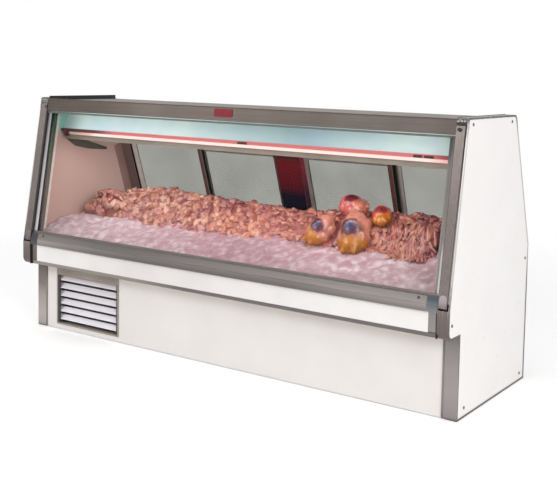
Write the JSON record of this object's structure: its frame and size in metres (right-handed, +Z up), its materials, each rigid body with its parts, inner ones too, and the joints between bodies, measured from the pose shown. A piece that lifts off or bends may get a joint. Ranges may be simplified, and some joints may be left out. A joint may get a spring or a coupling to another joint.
{
  "type": "refrigerated food display case",
  "caption": "Floor-standing chilled service counter with a tilting slanted front glass, a bed of ice with food, a lamp, sliding rear doors and a cooling unit in its base.",
  "frame": {"origin": "on the floor, under the middle of the overall box", "axes": "+X along the case to the right as seen by a customer, +Y from the front glass to the rear doors, +Z up"},
  "size_m": [2.59, 0.864, 1.286],
  "materials": {
    "white_enamel": "gloss",
    "white_wall": "satin",
    "stainless": "satin",
    "liner_steel": "satin",
    "foam": "matte",
    "pale_enamel": "satin",
    "front_pane": "gloss",
    "door_pane": "gloss",
    "door_frame": "satin",
    "dark_post": "satin",
    "seal_rubber": "matte",
    "screw_steel": "satin",
    "black_knob": "gloss",
    "pivot_block": "satin",
    "red_plate": "gloss",
    "lamp_glass": "gloss",
    "grille_paint": "satin",
    "grille_trim": "satin",
    "coil_metal": "satin",
    "copper": "satin",
    "black_enamel": "satin",
    "frame_paint": "matte",
    "rear_paint": "satin",
    "ice": "gloss",
    "food": "gloss"
  },
  "bodies": {
    "case": {"apron_trim": "stainless", "base_frame": "frame_paint", "base_posts": "stainless", "canopy_insulation": "foam", "coil_drip_pan": "pale_enamel", "compressor": "black_enamel", "condenser_coil": "coil_metal", "control_box": "rear_paint", "cooling_coil": "coil_metal", "deck_pans": "liner_steel", "drain_pipe": "liner_steel", "end_panel_screws": "screw_steel", "fan_motor": "black_enamel", "fan_shroud": "black_enamel", "front_apron": "white_enamel", "front_base_panel": "white_enamel", "front_header": "stainless", "front_sill": "stainless", "grille_frame": "grille_trim", "grille_louvres": "grille_paint", "header_plate": "red_plate", "ice_bed": "ice", "lamp_channel": "pale_enamel", "lamp_tube": "lamp_glass", "lamp_valance": "pale_enamel", "left_end_panel": "white_enamel", "left_end_trim": "stainless", "left_end_wall": "white_wall", "left_food_heap": "food", "middle_food_heap": "food", "pivot_blocks": "pivot_block", "pivot_pins": "liner_steel", "rear_header": "stainless", "rear_panel": "rear_paint", "rear_posts": "dark_post", "rear_sill": "stainless", "refrigerant_lines": "copper", "right_end_panel": "white_enamel", "right_end_trim": "stainless", "right_end_wall": "white_wall", "right_food_heap": "food", "top_panel": "stainless", "tub_insulation": "foam", "tub_liner": "liner_steel", "upper_door_track": "stainless"},
    "front_glass_door": {"front_glass_frame": "stainless", "front_glass": "front_pane", "front_glass_seals": "seal_rubber", "retaining_screws": "black_knob"},
    "rear_door_1": {"rear_door_1_frame": "door_frame", "rear_door_1_pane": "door_pane"},
    "rear_door_2": {"rear_door_2_frame": "door_frame", "rear_door_2_pane": "door_pane"},
    "rear_door_3": {"rear_door_3_frame": "door_frame", "rear_door_3_pane": "door_pane"},
    "rear_door_4": {"rear_door_4_frame": "door_frame", "rear_door_4_pane": "door_pane"},
    "fan": {"fan_blade": "coil_metal"},
    "switch": {"light_switch": "black_knob"},
    "knob": {"thermostat_knob": "black_knob"}
  },
  "joints": [
    {"name": "front_glass_tilt", "type": "hinge", "parent": "case", "child": "front_glass_door", "pos_m": [0, -0.41658, 0.50768], "axis": [1, 0, 0], "range_deg": [0, 75]},
    {"name": "rear_door_1_slide", "type": "slide", "parent": "case", "child": "rear_door_1", "axis": [1, 0, 0], "range_m": [0, 0.549]},
    {"name": "rear_door_2_slide", "type": "slide", "parent": "case", "child": "rear_door_2", "axis": [1, 0, 0], "range_m": [-0.549, 0]},
    {"name": "rear_door_3_slide", "type": "slide", "parent": "case", "child": "rear_door_3", "axis": [1, 0, 0], "range_m": [0, 0.549]},
    {"name": "rear_door_4_slide", "type": "slide", "parent": "case", "child": "rear_door_4", "axis": [1, 0, 0], "range_m": [-0.549, 0]},
    {"name": "fan_spin", "type": "hinge", "parent": "case", "child": "fan", "pos_m": [-0.91, -0.211, 0.185], "axis": [0, 1, 0], "continuous": true},
    {"name": "light_switch_rock", "type": "hinge", "parent": "case", "child": "switch", "pos_m": [-0.945, 0.27746, 1.15039], "axis": [-1, 0, 0], "range_deg": [0, 16]},
    {"name": "thermostat_turn", "type": "hinge", "parent": "case", "child": "knob", "pos_m": [-0.83, 0.28599, 1.15327], "axis": [0, 0.9473, 0.3203], "range_deg": [0, 270]}
  ]
}
